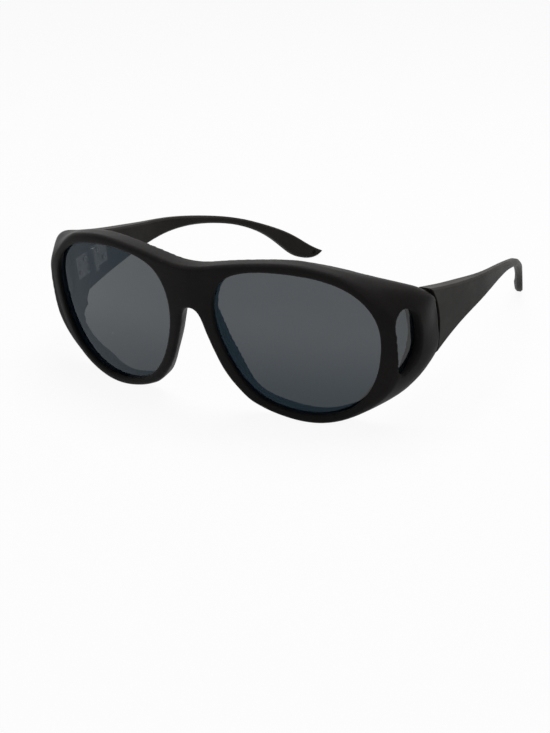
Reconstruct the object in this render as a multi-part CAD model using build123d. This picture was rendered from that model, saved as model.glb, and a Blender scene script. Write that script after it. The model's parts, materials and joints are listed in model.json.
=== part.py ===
from build123d import *
from math import asin, cos, pi, radians, sin, tan
import os

# Fitover sunglasses: a wrap front shell with two main lenses and two side windows,
# and two temples that fold on small metal hinges.
# Millimetres. The front is built upright, looking along +Y from the front, with x = 0
# its mirror plane, and everything is tilted at the end to stand on the rims and tips.

# Main lenses, seen from the front
LENS_WIDTH = 51.0
LENS_HEIGHT = 48.7
LENS_THICKNESS = 1.8
BRIDGE_GAP = 18.0
LENS_DROP = 3.3
LENS_INSET = 1.6
LENS_LAP = 1.2
LENS_CLEARANCE = 0.05

# Front shell
BRIDGE_RADIUS = 70.0
FACE_RADIUS = 308.0
RIM_BACK = 1.2
SHELL_WALL = 2.2
SIDE_BACKING = 0.4
NOSE_FLARE_DEG = 16.0
VISOR_SLOPE_DEG = 8.5
FLARE_DEPTH = 17.5
SIDE_START = 12.5
SIDE_END = 28.0
LOFT_LEAD = 2.0
VISOR_DEPTH = 7.0
VISOR_SIDE_EXTRA = 9.0
CREASE_BEVEL = 0.9
APERTURE_BEVEL = 0.6

# Sloping flat from the brow down the top of the side shield, through one point
SHOULDER_INSET = 4.4
SHOULDER_BACK = 15.4
SHOULDER_SHARE = 0.472
SHOULDER_FALL_DEG = 31.8
SHOULDER_LEAN_DEG = 4.0
SHOULDER_BEVEL = 2.0

# Seam between the front and a temple, in side view
SEAM_DEPTH = 34.6
SEAM_RADIUS = 19.5
SEAM_DROP = 2.8
SEAM_HEIGHT = 28.2
SEAM_GAP = 0.8

# Side windows
WINDOW_WIDTH = 9.0
WINDOW_HEIGHT = 21.5
WINDOW_THICKNESS = 1.4
WINDOW_ANGLE_DEG = 14.0
WINDOW_LAP = 1.0
WINDOW_FRONT = 14.8
WINDOW_INSET = 5.7
WINDOW_DROP = 2.5
WINDOW_SIGHT_DEG = 50.0
WINDOW_FLARE = 1.6
WINDOW_FLARE_DEPTH = 8.0

# Temples
TEMPLE_LENGTH = 128.4
TEMPLE_THICKNESS = 5.0
TIP_THICKNESS = 2.8
TEMPLE_DROP = 68.5
BEND_START = 25.0
BEND_RADIUS = 235.0
TEMPLE_GRIP = 12.0
THINNING_LENGTH = 42.8
TEMPLE_BEVEL = 0.7
LANYARD_RADIUS = 1.0
LANYARD_SETBACK = 3.6
LANYARD_SHARE = 0.772

# Hinges
BARREL_RADIUS = 1.5
KNUCKLE_HEIGHT = 2.7
KNUCKLE_GAP = 0.08
KNUCKLE_COUNT = 3
LEAF_THICKNESS = 1.0
LEAF_LENGTH = 7.0
LEAF_SETOFF = 0.25
LEAF_POCKET_GAP = 0.15
LEAF_SCREW_START = 2.0
LEAF_SCREW_END = 1.8
LEAF_SCREW_RISE = 2.0
BARREL_SETOFF = 0.15
HINGE_RISE = 0.6
HINGE_SCREW_RADIUS = 0.7
HINGE_HEAD_RADIUS = 1.3
HINGE_HEAD_HEIGHT = 0.7
LEAF_SCREW_RADIUS = 0.6
LEAF_SCREW_LENGTH = 2.6
LEAF_HEAD_RADIUS = 1.05
LEAF_HEAD_HEIGHT = 0.45
PIN_CLEARANCE = 0.04

# How far the rear is raised so that the rims and the temple tips stand on one plane
PITCH_DEG = 8.88

# Reach of cutting bodies past the part, and how near a surface an edge on it lies
OVERRUN = 40.0
EDGE_TOLERANCE = 0.02
# Where an edge is looked at along its length
probe_shares = [0.05, 0.5, 0.95]

# Aperture outline, as shares of half the lens width and height about the lens centre
lens_outline_shares = [
    (-0.99, 0.46), (-0.985, 0.18), (-0.90, -0.17), (-0.755, -0.50), (-0.47, -0.83),
    (-0.08, -0.985), (0.26, -1.0), (0.61, -0.865), (0.885, -0.52), (1.0, -0.07),
    (0.975, 0.38), (0.745, 0.735), (0.37, 0.93), (-0.06, 0.998), (-0.49, 0.985), (-0.83, 0.84),
]
# Front outline beyond the bridge: shares of the lens width from the bridge gap's edge,
# and of the lens height from the lens centre, from the brow round to the nose
crease_shares = [
    (0.039, 0.524), (0.255, 0.552), (0.49, 0.563), (0.706, 0.536), (0.873, 0.470),
    (1.0, 0.351), (1.086, 0.197), (1.113, -0.004), (1.090, -0.215), (0.992, -0.395),
    (0.838, -0.522), (0.608, -0.585), (0.353, -0.540), (0.147, -0.421),
]
# The same points at the seam, where the side shield is a flat upright slab
seam_shares = [
    (0.039, 0.524), (0.255, 0.552), (0.49, 0.563), (0.72, 0.532), (0.92, 0.450),
    (1.120, 0.430), (1.192, 0.320), (1.204, 0.010), (1.197, -0.215), (1.118, -0.320),
    (0.90, -0.425), (0.608, -0.56), (0.353, -0.53), (0.147, -0.421),
]
# Where the loft has its sections while the side widens to the seam's outline
widening_shares = [0, 0.22, 0.46, 0.72, 1]
# Nose side: shares of half the bridge gap, and of the lens height from the lens centre
nose_shares = [(1.07, -0.220), (0.655, -0.025), (0.40, 0.129)]
BROW_SHARE = 0.497
NOTCH_SHARE = 0.197
# How much of the side wall's extra thickness the shell has at each point of its outline
wall_shares = [
    0, 0, 0, 0, 0, 0.15, 0.5, 0.9, 1, 0.9, 0.5, 0.15, 0, 0, 0, 0, 0, 0, 0,
]
# Lower cheek edge from the side: shares of the seam's depth, and of the lens height
cheek_shares = [
    (0.40, -0.80), (0.49, -0.55), (0.58, -0.40), (0.72, -0.30), (0.90, -0.26), (1.1, -0.24),
]
# Rear edge of the brow, from a little past the middle to the side
visor_shares = [-0.3, 0, 0.3, 0.6, 0.8, 0.93, 1]
INNER_SIDE_SHARE = 1.1
# Points of the outline that belong to the sloping brow
VISOR_POINTS = 5
# Side window outline from its upper front corner over the top and down the rear edge:
# shares of its width, and of half its height
window_shares = [
    (0.0, 0.45), (0.12, 0.82), (0.45, 1.0), (0.78, 0.86), (0.97, 0.45), (1.0, -0.05),
    (0.87, -0.48), (0.54, -0.80), (0.16, -1.0), (0.0, -0.85),
]
# The last points of that outline are an arc and two straight edges
WINDOW_TAIL = 4
# Stations along the temple's inner face
strip_shares = [0.08, 0.15, 0.22, 0.3, 0.38, 0.45, 0.6, 0.8, 1.1]
# Temple's edges from the side: shares of its length from the seam, and of its drop
temple_top_shares = [
    (-0.09, -0.190), (0.0, -0.126), (0.095, -0.058), (0.196, 0.006), (0.297, 0.067),
    (0.398, 0.123), (0.50, 0.190), (0.60, 0.266), (0.701, 0.356), (0.80, 0.470),
    (0.90, 0.613), (0.965, 0.734), (1.0, 0.788),
]
temple_under_shares = [
    (1.0, 0.788), (0.981, 0.807), (0.943, 0.799), (0.897, 0.745), (0.856, 0.657),
    (0.802, 0.543), (0.701, 0.403), (0.60, 0.311), (0.498, 0.245), (0.397, 0.207),
    (0.293, 0.190), (0.191, 0.180), (0.088, 0.181), (0.0, 0.194), (-0.09, 0.215),
]


def face_x(share):
    return BRIDGE_GAP / 2 + share * LENS_WIDTH


def face_z(share):
    return share * LENS_HEIGHT - LENS_DROP


def face_depth(share):
    return share * SEAM_DEPTH


# Worked out from the sizes and shares above
RIM_DEPTH = LENS_INSET + LENS_THICKNESS + RIM_BACK
SIDE_WALL = TEMPLE_THICKNESS + SIDE_BACKING
TEMPLE_OUTSIDE = face_x(max(across for across, up in seam_shares))
SHOULDER_OUT = TEMPLE_OUTSIDE - SHOULDER_INSET
SHOULDER_RISE = face_z(SHOULDER_SHARE)
LANYARD_DROP = LANYARD_SHARE * TEMPLE_DROP


def front_depth(x):
    """Depth of the curved front surface at a distance x from the mirror plane."""
    edge = BRIDGE_GAP / 2
    if x < edge:
        return BRIDGE_RADIUS - (BRIDGE_RADIUS**2 - x**2) ** 0.5
    start = asin(edge / BRIDGE_RADIUS)
    here = asin(sin(start) + (x - edge) / FACE_RADIUS)
    return BRIDGE_RADIUS * (1 - cos(start)) + FACE_RADIUS * (cos(start) - cos(here))


def flat_face(*curves):
    return Face(Wire([edge for curve in curves for edge in curve.edges()]))


def behind_front(depth):
    """Right half of all that lies this deep behind the curved front surface."""
    start = asin(BRIDGE_GAP / 2 / BRIDGE_RADIUS)
    bridge_centre = Vector(0, BRIDGE_RADIUS)
    lens_centre = bridge_centre + Vector(-sin(start), cos(start)) * (FACE_RADIUS - BRIDGE_RADIUS)
    reach = asin(sin(start) + (LENS_WIDTH + OVERRUN / 2) / FACE_RADIUS)

    def on_arc(centre, radius, angle):
        return centre + Vector(sin(angle), -cos(angle)) * (radius - depth)

    first = on_arc(bridge_centre, BRIDGE_RADIUS, 0)
    join = on_arc(bridge_centre, BRIDGE_RADIUS, start)
    end = on_arc(lens_centre, FACE_RADIUS, reach)
    back = SEAM_DEPTH + OVERRUN
    plan = flat_face(
        ThreePointArc(first, on_arc(bridge_centre, BRIDGE_RADIUS, start / 2), join),
        ThreePointArc(join, on_arc(lens_centre, FACE_RADIUS, (start + reach) / 2), end),
        Polyline(end, (end.X, back), (0, back), first),
    )
    return extrude(Pos(0, 0, -OVERRUN) * plan, amount=2 * OVERRUN, dir=(0, 0, 1))


def shell_points(depth, share):
    """Half outline at one depth, from the middle of the brow round to the nose notch.

    With the share the side first widens quickly and its corner rises slowly.
    """
    widening, rising = sin(pi / 2 * share), share**2
    fall = tan(radians(VISOR_SLOPE_DEG))
    reach = min(depth, FLARE_DEPTH)
    flare = reach * tan(radians(NOSE_FLARE_DEG))
    points = [(0, face_z(BROW_SHARE) - reach * fall)]
    for number, (crease, seam) in enumerate(zip(crease_shares, seam_shares)):
        x = face_x(crease[0] + (seam[0] - crease[0]) * widening)
        z = face_z(crease[1] + (seam[1] - crease[1]) * rising)
        if number < VISOR_POINTS:
            z -= (reach - front_depth(x)) * fall
        points.append((x, z))
    points += [(BRIDGE_GAP / 2 * across + flare, face_z(up)) for across, up in nose_shares]
    points.append((0, face_z(NOTCH_SHARE) + flare))
    return points


def inset(points):
    """The same outline moved inward by the wall of each point."""
    moved = []
    for number, share in enumerate(wall_shares):
        x, z = points[number]
        wall = SHELL_WALL + (SIDE_WALL - SHELL_WALL) * share
        before = Vector(*points[max(number - 1, 0)])
        after = Vector(*points[min(number + 1, len(points) - 1)])
        along = (after - before).normalized()
        if x == 0:
            along = Vector(1, 0) if number == 0 else Vector(-1, 0)
        moved.append((x + along.Y * wall, z - along.X * wall))
    return moved


def section(points, depth):
    ends = [(x, depth, z) for x, z in points]
    return flat_face(
        Spline(*ends, tangents=[(1, 0, 0), (-1, 0, 0)]),
        Line(ends[-1], ends[0]),
    )


def shell_block(thinned):
    """Right half of the shell's outside, or of its hollow, as one smooth loft."""
    places = [(-LOFT_LEAD, 0)]
    for share in widening_shares:
        places.append((SIDE_START + (SIDE_END - SIDE_START) * share, share))
    places.append((SEAM_DEPTH + SEAM_GAP, 1))
    sections = []
    for depth, share in places:
        points = shell_points(depth, share)
        sections.append(section(inset(points) if thinned else points, depth))
    return loft(sections)


def above_shoulder(drop):
    """All that lies above the sloping flat, when that is lowered by a drop."""
    fall, lean = tan(radians(SHOULDER_FALL_DEG)), tan(radians(SHOULDER_LEAN_DEG))
    plane = Plane(
        origin=(SHOULDER_OUT, SHOULDER_BACK, SHOULDER_RISE),
        x_dir=(1, 0, -lean),
        z_dir=(lean, fall, 1),
    )
    return extrude(plane.offset(-drop) * Rectangle(4 * OVERRUN, 4 * OVERRUN), amount=2 * OVERRUN)


def in_side_view(*curves):
    """Slab across the right half with this outline, drawn in the YZ plane."""
    return extrude(flat_face(*curves), amount=2 * TEMPLE_OUTSIDE, dir=(1, 0, 0))


def seam_disc(radius):
    """Round end of the side shield, drawn from the side."""
    centre = (0, SEAM_DEPTH - SEAM_RADIUS, -SEAM_DROP)
    disc = Plane(origin=centre, x_dir=(0, 1, 0), z_dir=(1, 0, 0)) * Circle(radius)
    return extrude(disc, amount=2 * TEMPLE_OUTSIDE, dir=(1, 0, 0))


def under_edge():
    """All that lies below and behind the cheek edge of the shell, from the side."""
    points = [(0, face_depth(across), face_z(up)) for across, up in cheek_shares]
    low, back = -2 * OVERRUN, SEAM_DEPTH + OVERRUN
    return in_side_view(
        Spline(*points),
        Polyline(
            points[-1], (0, back, points[-1][2]), (0, back, low), (0, points[0][1], low), points[0]
        ),
    )


def behind_visor():
    """All that lies behind the rear edge of the brow, from above."""
    side = face_x(INNER_SIDE_SHARE)
    points = []
    for share in visor_shares:
        extra = VISOR_DEPTH + VISOR_SIDE_EXTRA * share**4
        points.append((side * share, front_depth(abs(side * share)) + extra, -OVERRUN))
    back = SEAM_DEPTH + OVERRUN
    plan = flat_face(
        Spline(*points),
        Polyline(points[-1], (side, back, -OVERRUN), (points[0][0], back, -OVERRUN), points[0]),
    )
    return extrude(plan, amount=2 * OVERRUN, dir=(0, 0, 1))


def lens_outline(margin):
    """Right lens outline in front view, grown by a margin."""
    across, up = LENS_WIDTH / 2, LENS_HEIGHT / 2
    middle = BRIDGE_GAP / 2 + across
    points = [
        (middle + x * (across + margin), -OVERRUN, z * (up + margin) - LENS_DROP)
        for x, z in lens_outline_shares
    ]
    return extrude(flat_face(Spline(*points, periodic=True)), amount=3 * OVERRUN, dir=(0, 1, 0))


def lens(clearance):
    """Curved lens, or its groove when the clearance is negative."""
    sheet = behind_front(LENS_INSET + clearance)
    sheet -= behind_front(LENS_INSET + LENS_THICKNESS - clearance)
    return sheet & lens_outline(LENS_LAP - clearance)


def window_plane():
    angle = radians(WINDOW_ANGLE_DEG)
    return Plane(
        origin=(TEMPLE_OUTSIDE - WINDOW_INSET, WINDOW_FRONT, -WINDOW_DROP),
        x_dir=(sin(angle), cos(angle), 0),
        z_dir=(cos(angle), -sin(angle), 0),
    )


def window_face(margin, start):
    """Side window's outline, grown by a margin, this far out along its normal."""
    points = []
    for across, up in window_shares:
        x = WINDOW_WIDTH * across + margin * (2 * across - 1)
        points.append((x, (WINDOW_HEIGHT / 2 + margin) * up))
    outline = flat_face(
        Spline(*points[: 1 - WINDOW_TAIL]),
        ThreePointArc(*points[-WINDOW_TAIL:-1]),
        Polyline(points[-2], points[-1], points[0]),
    )
    return window_plane().offset(start) * outline


def pane(clearance):
    """Side window pane, or its groove when the clearance is negative."""
    face = window_face(WINDOW_LAP - clearance, -WINDOW_THICKNESS + clearance)
    return extrude(face, amount=WINDOW_THICKNESS - 2 * clearance, dir=window_plane().z_dir)


def window_opening():
    """Cuts of the side window: the flared recess outside the pane and the way through inside."""
    recess = loft([window_face(0, 0), window_face(WINDOW_FLARE, WINDOW_FLARE_DEPTH)])
    back = radians(WINDOW_SIGHT_DEG)
    inside = extrude(window_face(0, 0), amount=OVERRUN / 2, dir=(-cos(back), sin(back), 0))
    return [recess, inside]


def on_front(edge):
    """True for an edge that lies in the curved front surface, away from the mirror plane."""
    points = [edge @ share for share in probe_shares]
    gaps = [abs(point.Y - front_depth(abs(point.X))) for point in points]
    return max(gaps) < EDGE_TOLERANCE and points[1].X > EDGE_TOLERANCE


def aperture_side(edge, outline):
    """True for an edge that is none of the outline's edges."""
    middle = edge @ 0.5
    return all((middle - (other @ 0.5)).length > EDGE_TOLERANCE for other in outline)


def on_shoulder(edge):
    """True for an edge of the sloping flat in front of the seam."""
    fall, lean = tan(radians(SHOULDER_FALL_DEG)), tan(radians(SHOULDER_LEAN_DEG))
    points = [edge @ share for share in probe_shares]
    gaps = []
    for point in points:
        rise = fall * (point.Y - SHOULDER_BACK) + lean * (point.X - SHOULDER_OUT)
        gaps.append(abs(point.Z - SHOULDER_RISE + rise))
    return max(gaps) < EDGE_TOLERANCE and points[1].X > EDGE_TOLERANCE and points[1].Y < SIDE_END


def front_half():
    """Right half of the front shell without its hinge pocket."""
    block = shell_block(False) & behind_front(0)
    block = chamfer(block.edges().filter_by(on_front), CREASE_BEVEL) - above_shoulder(0)
    block = chamfer(block.edges().filter_by(on_shoulder), SHOULDER_BEVEL)
    hollow = (shell_block(True) & behind_front(RIM_DEPTH)) - above_shoulder(SHELL_WALL)
    half = block - hollow
    half -= under_edge()
    half -= behind_visor()
    half &= front_of_seam(0)
    outline = half.edges().filter_by(on_front)
    half -= lens_outline(0)
    rim = [edge for edge in half.edges().filter_by(on_front) if aperture_side(edge, outline)]
    half = chamfer(rim, APERTURE_BEVEL)
    half -= lens(-LENS_CLEARANCE)
    half -= pane(-LENS_CLEARANCE)
    for cut in window_opening():
        half -= cut
    return half


def front_of_seam(gap):
    """All that lies in front of the seam, whose middle is round and whose ends are straight."""
    back = SEAM_DEPTH - SEAM_RADIUS + (SEAM_RADIUS**2 - (SEAM_HEIGHT / 2) ** 2) ** 0.5 + gap
    low, high = -2 * OVERRUN, OVERRUN
    block = in_side_view(
        Polyline((0, low, low), (0, back, low), (0, back, high), (0, low, high), (0, low, low))
    )
    return block + seam_disc(SEAM_RADIUS + gap)


def temple_half():
    """Right temple: its outline from the side, kept to its thickness from above."""
    def places(shares):
        return [(0, SEAM_DEPTH + TEMPLE_LENGTH * y, -TEMPLE_DROP * z) for y, z in shares]

    top, under = places(temple_top_shares), places(temple_under_shares)
    side = in_side_view(
        Spline(*top),
        Spline(*under),
        Line(under[-1], top[0]),
    )
    blank = (side & temple_strip()) - front_of_seam(SEAM_GAP)
    long_edges = [edge for edge in blank.edges() if not seam_edge(edge)]
    return chamfer(long_edges, TEMPLE_BEVEL) - lanyard_hole()


def seam_edge(edge):
    """True for an edge across the temple's thickness or round its seam."""
    return edge.geom_type == GeomType.CIRCLE or edge.length < TEMPLE_THICKNESS + SEAM_GAP


def lanyard_hole():
    """Bore square to the temple's faces near its tip."""
    bend = asin((TEMPLE_LENGTH - LANYARD_SETBACK - BEND_START) / BEND_RADIUS)
    outside, inward = temple_outside(BEND_START + BEND_RADIUS * bend)
    start = outside - inward * TIP_THICKNESS
    plane = Plane(origin=(start.X, start.Y, -LANYARD_DROP), z_dir=(inward.X, inward.Y, 0))
    return extrude(plane * Circle(LANYARD_RADIUS), amount=3 * TIP_THICKNESS)


def temple_outside(distance):
    """Point on the temple's outer face, seen from above, and the inward direction there."""
    bend = max(distance - BEND_START, 0) / BEND_RADIUS
    start = min(distance, BEND_START)
    x = TEMPLE_OUTSIDE - BEND_RADIUS * (1 - cos(bend))
    y = SEAM_DEPTH + start + BEND_RADIUS * sin(bend)
    return Vector(x, y), Vector(-cos(bend), -sin(bend))


def temple_thickness(distance):
    worn = min(max(distance - TEMPLE_GRIP, 0) / THINNING_LENGTH, 1)
    return TEMPLE_THICKNESS + (TIP_THICKNESS - TEMPLE_THICKNESS) * (3 * worn**2 - 2 * worn**3)


def temple_strip():
    """Slab between the temple's outer and inner faces, as seen from above."""
    last = strip_shares[-1]
    ends = [temple_outside(TEMPLE_LENGTH * share)[0] for share in (last / 2, last)]
    outer_start = Vector(TEMPLE_OUTSIDE, 0)
    bend_start = temple_outside(BEND_START)[0]
    inner = []
    for share in strip_shares:
        outside, inward = temple_outside(TEMPLE_LENGTH * share)
        inner.append(outside + inward * temple_thickness(TEMPLE_LENGTH * share))
    inner_start = Vector(inner[0].X, 0)
    plan = flat_face(
        Line(outer_start, bend_start),
        ThreePointArc(bend_start, *ends),
        Line(ends[1], inner[-1]),
        Spline(*inner[::-1]),
        Line(inner[0], inner_start),
        Line(inner_start, outer_start),
    )
    return extrude(Pos(0, 0, -2 * TEMPLE_DROP) * plan, amount=4 * TEMPLE_DROP, dir=(0, 0, 1))


def hinge_place():
    """Hinge axis seen from above, and the height of its middle."""
    inner_face = TEMPLE_OUTSIDE - TEMPLE_THICKNESS
    centre = Vector(inner_face - BARREL_SETOFF - BARREL_RADIUS, SEAM_DEPTH + SEAM_GAP / 2)
    return centre, HINGE_RISE - SEAM_DROP


def barrel_height():
    return KNUCKLE_COUNT * KNUCKLE_HEIGHT + (KNUCKLE_COUNT - 1) * KNUCKLE_GAP


def upright(radius, height, x, y, z):
    """Upright cylinder standing at a height."""
    return Pos(x, y, z) * Cylinder(radius, height, align=(Align.CENTER, Align.CENTER, Align.MIN))


def across(radius, length, y, z):
    """Cylinder running outward from the leaf's inner face."""
    start = TEMPLE_OUTSIDE - TEMPLE_THICKNESS - LEAF_THICKNESS
    plane = Plane(origin=(start, y, z), z_dir=(1, 0, 0))
    return extrude(plane * Circle(radius), amount=length)


def leaf_box(near, far, low, high, side, spare):
    """Block of the leaf's thickness, between two distances from the axis to one side of it."""
    centre, middle = hinge_place()
    inner_face = TEMPLE_OUTSIDE - TEMPLE_THICKNESS
    size = (LEAF_THICKNESS + spare, far - near, high - low)
    place = (inner_face - size[0] / 2, centre.Y + side * (near + far) / 2, middle + (low + high) / 2)
    return Pos(*place) * Box(*size)


def screw_places(side):
    """Depth and height of each leaf screw, the upper one nearer the axis."""
    centre, middle = hinge_place()
    start = BARREL_RADIUS + LEAF_SETOFF
    near, far = LEAF_SCREW_START, LEAF_LENGTH - LEAF_SCREW_END
    return [
        (centre.Y + side * (start + near), middle + LEAF_SCREW_RISE),
        (centre.Y + side * (start + far), middle - LEAF_SCREW_RISE),
    ]


def leaf(side, first):
    """Hinge leaf with every second knuckle, to the front (-1) or to the rear (1) of the axis."""
    centre, middle = hinge_place()
    half_height = barrel_height() / 2
    start = BARREL_RADIUS + LEAF_SETOFF
    part = leaf_box(start, start + LEAF_LENGTH, -half_height, half_height, side, 0)
    pitch = KNUCKLE_HEIGHT + KNUCKLE_GAP
    for number in range(first, KNUCKLE_COUNT, 2):
        low = number * pitch - half_height
        part += upright(BARREL_RADIUS, KNUCKLE_HEIGHT, centre.X, centre.Y, middle + low)
        part += leaf_box(0, start, low, low + KNUCKLE_HEIGHT, side, 0)
    bore = HINGE_SCREW_RADIUS + PIN_CLEARANCE
    part -= upright(bore, 2 * half_height, centre.X, centre.Y, middle - half_height)
    for y, z in screw_places(side):
        part -= across(LEAF_SCREW_RADIUS + PIN_CLEARANCE, LEAF_THICKNESS, y, z)
    return part


def leaf_screw(y, z):
    shank = across(LEAF_SCREW_RADIUS, LEAF_THICKNESS + LEAF_SCREW_LENGTH, y, z)
    return shank + across(LEAF_HEAD_RADIUS, -LEAF_HEAD_HEIGHT, y, z)


def screw_holes(side):
    """Blind holes for a leaf's screws in the plastic."""
    length = LEAF_THICKNESS + LEAF_SCREW_LENGTH + LEAF_POCKET_GAP
    return [across(LEAF_SCREW_RADIUS + PIN_CLEARANCE, length, y, z) for y, z in screw_places(side)]


def hinge_screw():
    """Screw that is the hinge pin, with its head on the top knuckle."""
    centre, middle = hinge_place()
    low, height = middle - barrel_height() / 2, barrel_height()
    shank = upright(HINGE_SCREW_RADIUS, height, centre.X, centre.Y, low)
    return shank + upright(HINGE_HEAD_RADIUS, HINGE_HEAD_HEIGHT, centre.X, centre.Y, low + height)


def hinge_pocket():
    """Room in the side shield for the front leaf and its barrel."""
    centre, middle = hinge_place()
    edge = barrel_height() / 2 + LEAF_POCKET_GAP
    far = BARREL_RADIUS + LEAF_SETOFF + LEAF_LENGTH + LEAF_POCKET_GAP
    room = leaf_box(0, far, -edge, edge, -1, SIDE_WALL)
    radius = BARREL_RADIUS + LEAF_POCKET_GAP
    return room + upright(radius, 2 * edge, centre.X, centre.Y, middle - edge)


def right_side():
    """Every piece of the right side but the front shell, in its place."""
    temple = temple_half()
    for hole in screw_holes(1):
        temple -= hole
    pieces = {
        "lens": lens(LENS_CLEARANCE),
        "side_lens": pane(LENS_CLEARANCE),
        "temple": temple,
        "front_leaf": leaf(-1, 0),
        "temple_leaf": leaf(1, 1),
        "hinge_screw": hinge_screw(),
    }
    for name, side in (("front_leaf_screw", -1), ("temple_leaf_screw", 1)):
        for level, (y, z) in zip(("upper", "lower"), screw_places(side)):
            pieces[name + "_" + level] = leaf_screw(y, z)
    return pieces


def whole_part():
    half = front_half() - hinge_pocket()
    for hole in screw_holes(-1):
        half -= hole
    nodes = {"front_frame": half + mirror(half, about=Plane.YZ)}
    for name, piece in right_side().items():
        nodes[name + "_right"] = piece
        nodes[name + "_left"] = mirror(piece, about=Plane.YZ)
    return nodes


def stood(nodes):
    """Every node pitched onto the rims and tips, with the origin under the middle of the part."""
    turned = {name: Rot(PITCH_DEG, 0, 0) * node for name, node in nodes.items()}
    boxes = [node.bounding_box() for node in turned.values()]
    front, back = min(box.min.Y for box in boxes), max(box.max.Y for box in boxes)
    shift = Pos(0, -(front + back) / 2, -min(box.min.Z for box in boxes))
    return {name: shift * node for name, node in turned.items()}


os.makedirs("parts", exist_ok=True)
for name, node in stood(whole_part()).items():
    export_step(node, f"parts/{name}.step")
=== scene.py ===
# %% [markdown]
# # Fitover sunglasses
# A wrap pair of smoke sunglasses, made to be worn over other glasses. The solids come from
# the imported model: a deep black shell, two big lenses, a small window in each side, and two
# temples on metal hinges. This script gives every surface its finish, models the screws that
# the solids leave plain, rounds the shell, and sets the pair on a white table with lamps and a camera.
# %% Load the model
import json
import math
import bpy
from mathutils import Matrix, Vector
from mathutils.bvhtree import BVHTree


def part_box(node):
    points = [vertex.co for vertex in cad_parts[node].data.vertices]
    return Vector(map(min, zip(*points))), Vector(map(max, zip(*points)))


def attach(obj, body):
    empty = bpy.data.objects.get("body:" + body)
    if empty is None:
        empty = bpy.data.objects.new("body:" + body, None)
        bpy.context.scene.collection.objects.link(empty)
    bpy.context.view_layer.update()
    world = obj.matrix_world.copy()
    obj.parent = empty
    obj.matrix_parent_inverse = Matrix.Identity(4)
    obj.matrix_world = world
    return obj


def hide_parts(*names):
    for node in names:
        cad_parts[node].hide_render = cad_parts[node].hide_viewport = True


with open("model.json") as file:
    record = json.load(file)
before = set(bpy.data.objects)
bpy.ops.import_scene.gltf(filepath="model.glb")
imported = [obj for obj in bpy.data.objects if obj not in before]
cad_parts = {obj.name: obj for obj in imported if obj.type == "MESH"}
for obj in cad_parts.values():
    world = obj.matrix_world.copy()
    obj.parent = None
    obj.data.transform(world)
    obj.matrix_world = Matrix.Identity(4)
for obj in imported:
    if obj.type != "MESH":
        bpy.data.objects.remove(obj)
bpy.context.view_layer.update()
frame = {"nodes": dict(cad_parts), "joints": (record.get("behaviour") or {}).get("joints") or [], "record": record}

MM = 0.001
nodes = frame["nodes"]


# %% [markdown]
# ## Writing a material as a sum
# A material is a small calculation that runs at every point of a surface. Wrapping a socket in
# a class lets the sum be written as plain Python, so `grain * 0.4 + 0.3` adds its own nodes.
# It could also be drawn by hand in the node editor, but a sum is quicker to read and change.
# %% A socket that can be added and multiplied
class Wire:
    """One output of a material's node tree."""

    def __init__(self, tree, socket):
        self.tree = tree
        self.socket = socket

    def node(self, kind, settings=None, values=None, output=0):
        """A new node of the same tree: its settings first, then its inputs."""
        made = self.tree.nodes.new(kind)
        for name, value in (settings or {}).items():
            setattr(made, name, value)
        for name, value in (values or {}).items():
            if isinstance(value, Wire):
                self.tree.links.new(value.socket, made.inputs[name])
            else:
                made.inputs[name].default_value = value
        return Wire(self.tree, made.outputs[output])

    def maths(self, operation, *terms):
        return self.node("ShaderNodeMath", {"operation": operation}, dict(enumerate(terms)))

    def __add__(self, other):
        return self.maths("ADD", self, other)

    def __sub__(self, other):
        return self.maths("SUBTRACT", self, other)

    def __rsub__(self, other):
        return self.maths("SUBTRACT", other, self)

    def __mul__(self, other):
        return self.maths("MULTIPLY", self, other)

    __radd__ = __add__
    __rmul__ = __mul__

    def between(self, low, high):
        """0 below low, 1 above high, and smooth in between."""
        return self.node(
            "ShaderNodeMapRange",
            {"interpolation_type": "SMOOTHSTEP"},
            {"Value": self, "From Min": low, "From Max": high},
        )

    def blend(self, first, second):
        """The first colour where this is 0, the second where it is 1."""
        mix = {"data_type": "RGBA", "clamp_factor": True}
        return self.node("ShaderNodeMix", mix, {0: self, 6: first, 7: second}, output=2)


# %% Colours and an empty material
def linear(red, green, blue):
    """A colour as it looks on screen, 0 to 255, in the numbers that the shader wants."""
    def channel(value):
        share = value / 255
        return share / 12.92 if share < 0.04045 else ((share + 0.055) / 1.055) ** 2.4
    return (channel(red), channel(green), channel(blue), 1.0)


def new_material(name, **settings):
    """A plain shader, and the place on the piece: what is the same all over is set here."""
    material = bpy.data.materials.new(name)
    material.use_nodes = True
    tree = material.node_tree
    shader = tree.nodes["Principled BSDF"]
    for socket, value in settings.items():
        shader.inputs[socket.replace("_", " ")].default_value = value
    place = Wire(tree, tree.nodes.new("ShaderNodeTexCoord").outputs["Object"])
    return material, shader, place


def feed(shader, socket, wire):
    wire.tree.links.new(wire.socket, shader.inputs[socket])


SHELL_BLACK = linear(38, 36, 36)
SHELL_WORN = linear(49, 47, 46)
TEMPLE_BLACK = linear(44, 42, 40)
TEMPLE_WORN = linear(56, 54, 52)
print("the shell's black is", [round(value, 4) for value in SHELL_BLACK[:3]])


# %% Noise and small relief
def noise(place, size, detail=3.0, roughness=0.55, distortion=0.0):
    """Cloudy noise, about 0.5 in the middle, with features of this size in millimetres."""
    values = {"Vector": place, "Scale": 1 / (size * MM), "Detail": detail}
    values.update({"Roughness": roughness, "Distortion": distortion})
    return place.node("ShaderNodeTexNoise", None, values)


def stretched(place, scale):
    """The place with each direction multiplied, so that what reads it is drawn out or packed."""
    return place.node("ShaderNodeMapping", None, {"Vector": place, "Scale": scale})


def relief(height, depth, edge_radius):
    """The surface raised by the height times a depth, with rounded edges, in millimetres."""
    edge = height.node("ShaderNodeBevel", {"samples": 6}, {"Radius": edge_radius * MM})
    values = {"Height": height, "Distance": depth * MM, "Normal": edge}
    return height.node("ShaderNodeBump", None, values)


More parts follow.
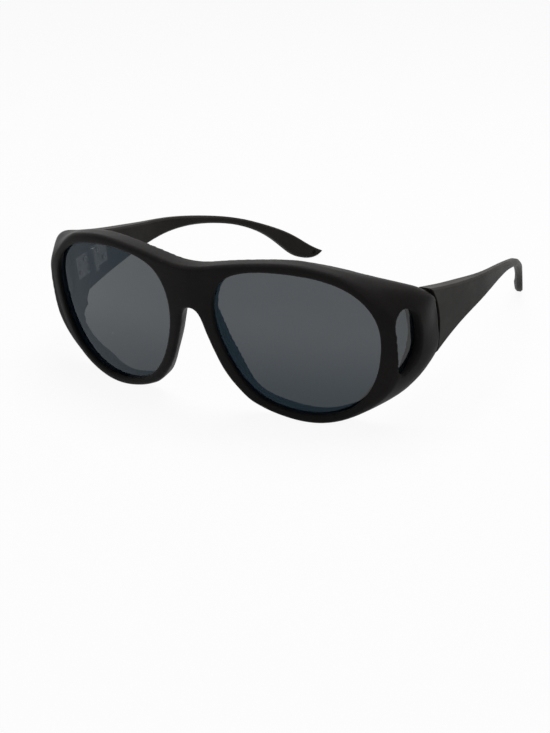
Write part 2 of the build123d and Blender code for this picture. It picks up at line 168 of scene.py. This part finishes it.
# %% [markdown]
# ## Soft black plastic
# The shell and the temples are moulded in black nylon with a fine spark texture, so the light
# on them is broad and soft and the front stays nearly black. A flat colour would look like
# paint, so several noises are laid over each other: the fine and the coarse grain of the mould,
# slightly smoother places where fingers hold it, faint flow marks, and specks of dust.
# A real moulding has no sharp edges. The shader rounds them by looking a little way round.
# The flow marks run across the shell and along a temple. All sizes here are in millimetres.
# %% Black plastic
GRAIN = 0.26
GRAIN_DEPTH = 0.02
COARSE_GRAIN = 4 * GRAIN
TOUCH = 22.0
FLOW_MARK = 3.5
DUST = 0.7
DUST_GREY = linear(96, 94, 92)
EDGE_SOFTNESS = 0.55


def plastic(name, colour, worn, rough, flow):
    material, shader, place = new_material(name, IOR=1.46, Specular_IOR_Level=0.05)
    touched = noise(place, TOUCH, 4).between(0.38, 0.68)
    grain = noise(place, GRAIN, 2, 0.6)
    coarse = noise(place, COARSE_GRAIN, 2)
    marks = noise(stretched(place, flow), FLOW_MARK, 3, 0.5, 0.4).between(0.4, 0.75)
    dust = noise(place, DUST, 1).between(0.77, 0.82)
    tone = (touched * 0.45 + marks * 0.25 + coarse * 0.3).blend(colour, worn)
    feed(shader, "Base Color", dust.blend(tone, DUST_GREY))
    feed(shader, "Roughness", rough + touched * -0.07 + coarse * 0.08 + dust * 0.2)
    feed(shader, "Normal", relief(grain + coarse * 0.7, GRAIN_DEPTH, EDGE_SOFTNESS))
    return material


shell_plastic = plastic("shell_plastic", SHELL_BLACK, SHELL_WORN, 0.44, (0.5, 1.0, 1.6))
temple_plastic = plastic("temple_plastic", TEMPLE_BLACK, TEMPLE_WORN, 0.42, (1.6, 0.3, 1.6))
print("plastics", shell_plastic.name, temple_plastic.name)

# %% [markdown]
# ## Smoke lenses
# A smoke lens lets less than a tenth of the light through, and its coating gives back a faint
# cold reflection. Light meets two faces, the front and the back, so each face only has to stop
# about three quarters. Glass with true refraction would need many more samples for the same
# look. Faint wipe marks change the gloss. The lens is also made darker towards the bottom, as
# painted shade for the shadow behind it, between two heights above the table in millimetres.
# %% Tinted lenses
PAINTED_SHADE_FULL_HEIGHT = 3.0
PAINTED_SHADE_END_HEIGHT = 34.0
WIPE = 16.0
LENS_DUST_GREY = linear(126, 128, 131)


def tinted(name, colour, glint, clear, deep_with_painted_shade):
    """It reflects the glint, and stops the share clear of the light above and deep below, the extra stop below
    being painted shade.
    """
    finish = {"IOR": 1.5, "Specular_IOR_Level": 0.36, "Specular_Tint": glint}
    material, shader, place = new_material(name, **finish)
    wiped = noise(place, WIPE, 4, 0.6, 1.5).between(0.4, 0.8)
    dust = noise(place, DUST, 1).between(0.785, 0.83)
    height = place.node("ShaderNodeSeparateXYZ", None, {"Vector": place}, output=2)
    # Painted shade: the lens stops more light towards the bottom, standing in for the shadow behind it.
    low = 1 - height.between(PAINTED_SHADE_FULL_HEIGHT * MM, PAINTED_SHADE_END_HEIGHT * MM)
    feed(shader, "Base Color", dust.blend(colour, LENS_DUST_GREY))
    feed(shader, "Roughness", 0.04 + wiped * 0.05 + dust * 0.3)
    feed(shader, "Alpha", clear + low * (deep_with_painted_shade - clear) - wiped * 0.006 + dust * 0.05)
    return material


LENS_SMOKE = linear(20, 31, 44)
WINDOW_SMOKE = linear(22, 31, 37)
LENS_GLINT = (0.4, 0.74, 1.0, 1.0)
WINDOW_GLINT = (0.6, 0.85, 1.0, 1.0)
lens_tint = tinted("lens_tint", LENS_SMOKE, LENS_GLINT, clear=0.722, deep_with_painted_shade=0.80)
window_tint = tinted("window_tint", WINDOW_SMOKE, WINDOW_GLINT, clear=0.78, deep_with_painted_shade=0.79)
print("tints", lens_tint.name, window_tint.name)

# %% [markdown]
# ## Hinge metal
# The leaves are stamped from a nickel plated strip that was brushed along its length, so one
# noise is stretched into lines and gives both the relief and the change of gloss. The screws
# are turned and tumbled: brighter, with rounder marks and a little tarnish here and there.
# %% Metals
BRUSH = 0.32
TARNISH = 7 * BRUSH
METAL_EDGE = 0.12
NICKEL = linear(172, 172, 177)
NICKEL_DARK = linear(116, 115, 118)
STEEL = linear(196, 195, 197)
STEEL_DARK = linear(112, 110, 109)
BRUSHED = (1, 0.08, 1)
TUMBLED = (1, 1, 1)


def metal(name, colour, dark, rough, stretch, depth):
    material, shader, place = new_material(name, Metallic=1.0)
    lines = noise(stretched(place, stretch), BRUSH, 3, 0.7)
    stain = noise(place, TARNISH, 3).between(0.45, 0.75)
    feed(shader, "Base Color", (stain * 0.7 + lines * 0.3).blend(colour, dark))
    feed(shader, "Roughness", rough + lines * 0.16 + stain * 0.1)
    feed(shader, "Normal", relief(lines, depth, METAL_EDGE))
    return material


leaf_metal = metal("leaf_metal", NICKEL, NICKEL_DARK, 0.2, BRUSHED, 0.006)
screw_metal = metal("screw_metal", STEEL, STEEL_DARK, 0.14, TUMBLED, 0.004)
print("metals", leaf_metal.name, screw_metal.name)


# %% Dress the solids of the model
def finish_of(name):
    if name.startswith("side_lens"):
        return window_tint
    if name.startswith("lens"):
        return lens_tint
    if "screw" in name:
        return screw_metal
    if "leaf" in name:
        return leaf_metal
    return temple_plastic if name.startswith("temple") else shell_plastic


def dress(piece, material):
    piece.data.materials.clear()
    piece.data.materials.append(material)


for name, piece in nodes.items():
    dress(piece, finish_of(name))
print({name: finish_of(name).name for name in sorted(nodes)})


# %% [markdown]
# ## Selecting and applying
# An operator acts on everything that is selected, so each step first clears the selection and
# then picks its own piece or faces. Faces are picked by a test on their place or direction.
# A modifier is applied as soon as it is added, so that the next step works on real faces.
# %% Helpers that select and apply
def deselect():
    if bpy.context.object and bpy.context.object.mode != "OBJECT":
        bpy.ops.object.mode_set(mode="OBJECT")
    bpy.ops.object.select_all(action="DESELECT")


def only(piece):
    deselect()
    piece.select_set(True)
    bpy.context.view_layer.objects.active = piece


def select_faces(piece, wanted):
    """Edit mode, with just the faces selected that the test wants."""
    only(piece)
    for polygon in piece.data.polygons:
        polygon.select = bool(wanted(polygon))
    bpy.ops.object.mode_set(mode="EDIT")
    bpy.ops.mesh.select_mode(type="FACE")


def apply(piece, kind, name, **settings):
    only(piece)
    modifier = piece.modifiers.new(name, kind)
    for setting, value in settings.items():
        setattr(modifier, setting, value)
    bpy.ops.object.modifier_apply(modifier=name)


# %% [markdown]
# ## Screws
# Each hinge leaf is held by two small pan head screws with a cross recess, and the pivot is a
# cheese head screw with a slot, driven from above. The solids only have plain headed pins, so
# each head is turned here from a disc: its top is raised in two insets, a cutter takes the
# recess out of it, and its edges are bevelled. A boolean is right for a recess, because its
# walls are straight and its floor is flat, and both are hard to pull out of a disc by hand.
# %% A disc and a cutter
def disc(name, radius, height):
    deselect()
    size = {"radius": radius * MM, "depth": height * MM, "location": (0, 0, height / 2 * MM)}
    bpy.ops.mesh.primitive_cylinder_add(vertices=32, **size)
    made = bpy.context.object
    made.name = name
    bpy.ops.object.transform_apply(location=True, rotation=True, scale=True)
    return made


def cutter_bar(length, width, low, high, turn):
    deselect()
    bpy.ops.mesh.primitive_cube_add(size=1, location=(0, 0, (low + high) / 2 * MM))
    made = bpy.context.object
    made.scale = (length * MM, width * MM, (high - low) * MM)
    bpy.ops.object.transform_apply(location=True, rotation=True, scale=True)
    made.rotation_euler = (0, 0, turn)
    return made


# %% A screw that points up, with its head's underside at the origin
LEAF_SCREW = {
    "radius": 1.05,
    "height": 0.45,
    "shank_radius": 0.6,
    "shank_length": 3.6,
    "slot_width": 0.3,
    "slot_length": 1.3125,
    "slot_turns": (0, 90),
}
HINGE_SCREW = {
    "radius": 1.3,
    "height": 0.7,
    "shank_radius": 0.7,
    "shank_length": 8.26,
    "slot_width": 0.34,
    "slot_length": 3.9,
    "slot_turns": (0,),
}
TOP_STEPS = ((0.22, 0.14), (0.3, 0.08))
RECESS_FLOOR = 0.38
EDGE_SHARE = 0.14


def screw(name, radius, height, shank_radius, shank_length, slot_width, slot_length, slot_turns):
    """Each top step is an inset in radii, then a rise in heights. The side is what is left."""
    side = height * (1 - sum(rise for inset, rise in TOP_STEPS))
    head = disc(name, radius, side)
    select_faces(head, lambda polygon: polygon.normal.z > 0.9)
    for inset, rise in TOP_STEPS:
        bpy.ops.mesh.inset(thickness=radius * inset * MM)
        bpy.ops.transform.translate(value=(0, 0, height * rise * MM))
    select_faces(head, lambda polygon: polygon.normal.z < -0.9)
    bpy.ops.mesh.inset(thickness=(radius - shank_radius) * MM)
    downwards = {"value": (0, 0, -shank_length * MM)}
    bpy.ops.mesh.extrude_region_move(TRANSFORM_OT_translate=downwards)
    bpy.ops.object.mode_set(mode="OBJECT")
    for turn in slot_turns:
        floor, above = height * RECESS_FLOOR, height * 2
        cutter = cutter_bar(slot_length, slot_width, floor, above, math.radians(turn))
        apply(head, "BOOLEAN", "recess", operation="DIFFERENCE", object=cutter, solver="EXACT")
        bpy.data.objects.remove(cutter)
    bevel = {"width": slot_width * EDGE_SHARE * MM, "segments": 2, "limit_method": "ANGLE"}
    apply(head, "BEVEL", "edges", angle_limit=math.radians(35), **bevel)
    only(head)
    bpy.ops.object.shade_smooth_by_angle(angle=math.radians(40))
    return head


leaf_pattern = screw("leaf_screw_pattern", **LEAF_SCREW)
hinge_pattern = screw("hinge_screw_pattern", **HINGE_SCREW)
print("leaf screw faces", len(leaf_pattern.data.polygons))
print("hinge screw faces", len(hinge_pattern.data.polygons))


# %% Set a screw in the place of each plain pin
def body_of(node):
    bodies = frame["record"]["behaviour"]["bodies"]
    return next(body for body, members in bodies.items() if node in members)


def stand_in(piece, node):
    """The piece takes the place of a solid, with its body."""
    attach(piece, body_of(node))
    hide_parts(node)


def set_in(node, pattern, spot, axis, spin):
    """A copy of the pattern with its head's underside at the spot, pointing along the axis."""
    piece = bpy.data.objects.new(node.replace("screw", "screw_turned"), pattern.data.copy())
    bpy.context.scene.collection.objects.link(piece)
    turn = Vector(axis).to_track_quat("Z", "Y").to_matrix().to_4x4()
    piece.data.transform(Matrix.Translation(spot) @ turn @ Matrix.Rotation(spin, 4, "Z"))
    dress(piece, screw_metal)
    stand_in(piece, node)
    return piece


def set_leaf_screw(node, spin):
    """Its head lies on the inner face of the leaf, towards the middle of the pair."""
    low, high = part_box(node)
    side = 1 if low.x > 0 else -1
    inner = low.x if side > 0 else high.x
    underside = inner + side * LEAF_SCREW["height"] * MM
    spot = Vector((underside, (low.y + high.y) / 2, (low.z + high.z) / 2))
    return set_in(node, leaf_pattern, spot, (-side, 0, 0), math.radians(spin))


def set_hinge_screw(node, spin):
    """The box's middle is half way along the screw, and the head starts some way past it."""
    low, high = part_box(node)
    past_middle = (HINGE_SCREW["shank_length"] - HINGE_SCREW["height"]) / 2
    spot = (low + high) / 2 + fold_axis * past_middle * MM
    return set_in(node, hinge_pattern, spot, fold_axis, math.radians(spin))


FIRST_SPIN = 17
NEXT_SPIN = 53
HINGE_SPIN = 38
joints = {joint["name"]: joint for joint in frame["joints"]}
fold_axis = Vector(joints["fold_right"]["axis"])
leaf_screws = sorted(name for name in nodes if "leaf_screw" in name)
screws = [set_leaf_screw(name, FIRST_SPIN + NEXT_SPIN * n) for n, name in enumerate(leaf_screws)]
screws += [set_hinge_screw("hinge_screw_" + side, HINGE_SPIN) for side in ("right", "left")]
bpy.data.objects.remove(leaf_pattern)
bpy.data.objects.remove(hinge_pattern)
print("screws", len(screws))


# %% [markdown]
# ## Moulded shell
# The solid of the shell has narrow flat bevels on its edges. On the real one the brow flows
# round into the side without a line, and every other edge has a small radius. A bevel tool
# would trip over the long thin triangles of the solid, so a copy of it is remeshed into small
# even faces first. Smoothing such a mesh rounds an edge a little more with every pass.
# %% A mesh of even faces
SHELL_FACE = 0.42
MERGE_DISTANCE = 0.002


def even_copy(node, size):
    """A copy of a solid's mesh with faces of one size, in millimetres."""
    piece = bpy.data.objects.new(node + "_moulded", nodes[node].data.copy())
    bpy.context.scene.collection.objects.link(piece)
    select_faces(piece, lambda polygon: True)
    bpy.ops.mesh.remove_doubles(threshold=MERGE_DISTANCE * MM)
    bpy.ops.object.mode_set(mode="OBJECT")
    apply(piece, "REMESH", "even", mode="VOXEL", voxel_size=size * MM)
    return piece


shell = even_copy("front_frame", SHELL_FACE)
dress(shell, shell_plastic)
print("shell faces", len(shell.data.polygons))


# %% [markdown]
# ## Slim rims
# In the photograph the rims are slimmer at their sides and below than in the solid. The lenses
# reach 1.2 mm into the rims, so there is room to move the walls around them outwards. A push
# along each face's own direction tears a fine mesh at sharp edges. A push that depends only on
# the place keeps it smooth: it is strongest beside the lens and fades out before the rim ends.
# %% Shift the walls round each lens
RIM_REACH = 2.7
RIM_FULL = 0.4 * RIM_REACH
RIM_SHIFT = 0.85
PUSHES = {"more_x": ("X", 1), "less_x": ("X", -1), "less_z": ("Z", -1)}


def ramp(value, start, end):
    return min(max((value - start) / (end - start), 0.0), 1.0)


def widen(piece, pane):
    """Shifts the rim round a pane outwards, all but its top, and tells how many points moved."""
    low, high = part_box(pane)
    middle = (low + high) / 2
    mesh = nodes[pane].data
    tree = BVHTree.FromPolygons([v.co for v in mesh.vertices], [p.vertices for p in mesh.polygons])
    groups = {name: piece.vertex_groups.new(name=name) for name in PUSHES}
    moved = 0
    for vertex in piece.data.vertices:
        distance = tree.find_nearest(vertex.co, RIM_REACH * MM)[3]
        if distance is None:
            continue
        moved += 1
        fade = 1 - ramp(distance / MM, RIM_FULL, RIM_REACH)
        outward = (vertex.co - middle).normalized() * fade
        shares = {"more_x": outward.x, "less_x": -outward.x, "less_z": -outward.z}
        for name, share in shares.items():
            if share > 0:
                groups[name].add([vertex.index], share, "REPLACE")
    for name, (axis, way) in PUSHES.items():
        push = {"direction": axis, "strength": way * RIM_SHIFT * MM, "mid_level": 0}
        apply(piece, "DISPLACE", name, vertex_group=name, **push)
    piece.vertex_groups.clear()
    return moved


for pane in ("lens_right", "lens_left"):
    print("points moved round", pane, widen(shell, pane))


# %% [markdown]
# ## Round shoulders and edges
# The shoulder is the corner where the brow meets the side. It has a radius of several
# millimetres, so it gets many passes, by a strength that fades out towards the bridge, the side
# window and the temple. After that the whole shell gets a few passes, for its small radii.
# Each pair of numbers says where the strength is 0 and where it is full: places are in
# millimetres, and the facing is the sum of the outward and the upward part of the normal.
# %% Smooth the shoulders, then every edge
SHOULDER_X = (50, 58)
SHOULDER_Y = (-53, -61)
SHOULDER_Z = (41.5, 45)
FACING = (0.5, 0.9)
SHOULDER_PASSES = 160
EDGE_PASSES = 4


def soften(piece, passes, strength):
    """Smooths each point as often as asked, by its strength from 0 to 1."""
    group = piece.vertex_groups.new(name="soft")
    for vertex in piece.data.vertices:
        weight = strength(vertex.co / MM, vertex.normal)
        if weight > 0:
            group.add([vertex.index], weight, "REPLACE")
    apply(piece, "SMOOTH", "soften", factor=0.5, iterations=passes, vertex_group="soft")
    piece.vertex_groups.clear()


def on_shoulder(point, normal):
    """1 on the outside of the corner between brow and side, 0 inside and near the temple."""
    outward = normal.x * (1 if point.x > 0 else -1)
    place = ramp(abs(point.x), *SHOULDER_X) * ramp(point.z, *SHOULDER_Z) * ramp(point.y, *SHOULDER_Y)
    return place * ramp(outward + normal.z, *FACING)


soften(shell, SHOULDER_PASSES, on_shoulder)
soften(shell, EDGE_PASSES, lambda point, normal: 1.0)
only(shell)
bpy.ops.object.shade_smooth()
stand_in(shell, "front_frame")
print("shell in mm", [round(size / MM, 1) for size in shell.dimensions])


# %% [markdown]
# ## Table and backdrop
# Product pictures of dark things are taken on a white sweep under one broad lamp from above.
# The table here is a plane. Whatever the camera sees of it, straight or through glass, is
# mostly a white of its own, and the rest is lit as usual, so that a soft shadow stays.
# %% Table
TABLE_SIZE = 6.0
TABLE_GREY = (0.55, 0.55, 0.55, 1)
OWN_WHITE = 0.86
OWN_STRENGTH = 1.08


def seen(tree):
    """1 on a ray that the camera sends, straight, by a reflection or through glass."""
    path = tree.nodes.new("ShaderNodeLightPath")
    straight = Wire(tree, path.outputs["Is Camera Ray"])
    mirrored = Wire(tree, path.outputs["Is Glossy Ray"])
    through = Wire(tree, path.outputs["Is Transmission Ray"])
    return straight.maths("MAXIMUM", straight.maths("MAXIMUM", straight, mirrored), through)


table_material, lit, _ = new_material("table_white", Base_Color=TABLE_GREY, Roughness=0.9)
tree = table_material.node_tree
glow = tree.nodes.new("ShaderNodeEmission")
glow.inputs["Strength"].default_value = OWN_STRENGTH
mix = tree.nodes.new("ShaderNodeMixShader")
tree.links.new((seen(tree) * OWN_WHITE).socket, mix.inputs[0])
tree.links.new(lit.outputs[0], mix.inputs[1])
tree.links.new(glow.outputs[0], mix.inputs[2])
tree.links.new(mix.outputs[0], tree.nodes["Material Output"].inputs["Surface"])

deselect()
bpy.ops.mesh.primitive_plane_add(size=TABLE_SIZE, location=(0, 0, 0))
table = bpy.context.object
table.name = "table"
dress(table, table_material)
print("table", [round(size, 2) for size in table.dimensions])

# %% [markdown]
# ## Light
# The photograph has a bright brow and a nearly black front, so almost all light comes from
# above and a little behind. A weak lamp in front keeps the form readable. The world is white
# where the camera looks, so it shows in the lenses, and lights the shadows only faintly.
# %% World and lamps
FILL = 0.045
world = bpy.data.worlds.new("studio")
bpy.context.scene.world = world
world.use_nodes = True
sky = world.node_tree.nodes["Background"]
sky.inputs["Color"].default_value = (1, 1, 1, 1)
brightness = seen(world.node_tree) * (1 - FILL) + FILL
world.node_tree.links.new(brightness.socket, sky.inputs["Strength"])


def lamp(name, place, aim, width, depth, power):
    """An oblong lamp at a place that shines on the aim, in metres and watts."""
    light = bpy.data.lights.new(name, "AREA")
    light.shape = "RECTANGLE"
    light.size = width
    light.size_y = depth
    light.energy = power
    made = bpy.data.objects.new(name, light)
    made.location = place
    made.rotation_euler = (Vector(aim) - Vector(place)).to_track_quat("-Z", "Y").to_euler()
    bpy.context.scene.collection.objects.link(made)
    return made


overhead = lamp("overhead", (0.05, 0.12, 0.85), (0, -0.02, 0.02), width=0.7, depth=0.5, power=5.0)
front = lamp("front", (-0.1, -0.9, 0.6), (0, 0, 0.02), width=0.5, depth=0.4, power=0.5)
print("lamps", overhead.name, front.name)

# %% [markdown]
# ## Camera
# The camera stands to the right and above, about 0.55 m from the middle of the pair. Its
# place, direction and lens were found by fitting the outline of the solids to the outline in
# the photograph. The lens follows from the height of the picture and a focal length in pixels.
# %% Camera
PHOTO_HEIGHT = 733
FOCAL_PIXELS = 1496.03
SENSOR = 36.0
PLACE = Vector((249.356, -454.883, 194.460))
LOOK = Vector((-0.47061716, 0.80060879, -0.37087066))
RIGHT = Vector((0.86558629, 0.50043297, -0.01808915))
CLIP_START = 0.01

camera_data = bpy.data.cameras.new("camera")
camera_data.sensor_width = SENSOR
camera_data.lens = FOCAL_PIXELS * SENSOR / PHOTO_HEIGHT
camera_data.clip_start = CLIP_START
camera = bpy.data.objects.new("camera", camera_data)
up = RIGHT.cross(LOOK).normalized()
turn = Matrix((RIGHT, up, -LOOK)).transposed().to_4x4()
camera.matrix_world = Matrix.Translation(PLACE * MM) @ turn
bpy.context.scene.collection.objects.link(camera)
bpy.context.scene.camera = camera
bpy.context.scene.view_settings.view_transform = "Standard"
print("camera", [round(v, 4) for v in camera.matrix_world.translation])
print("lens", round(camera_data.lens, 2))
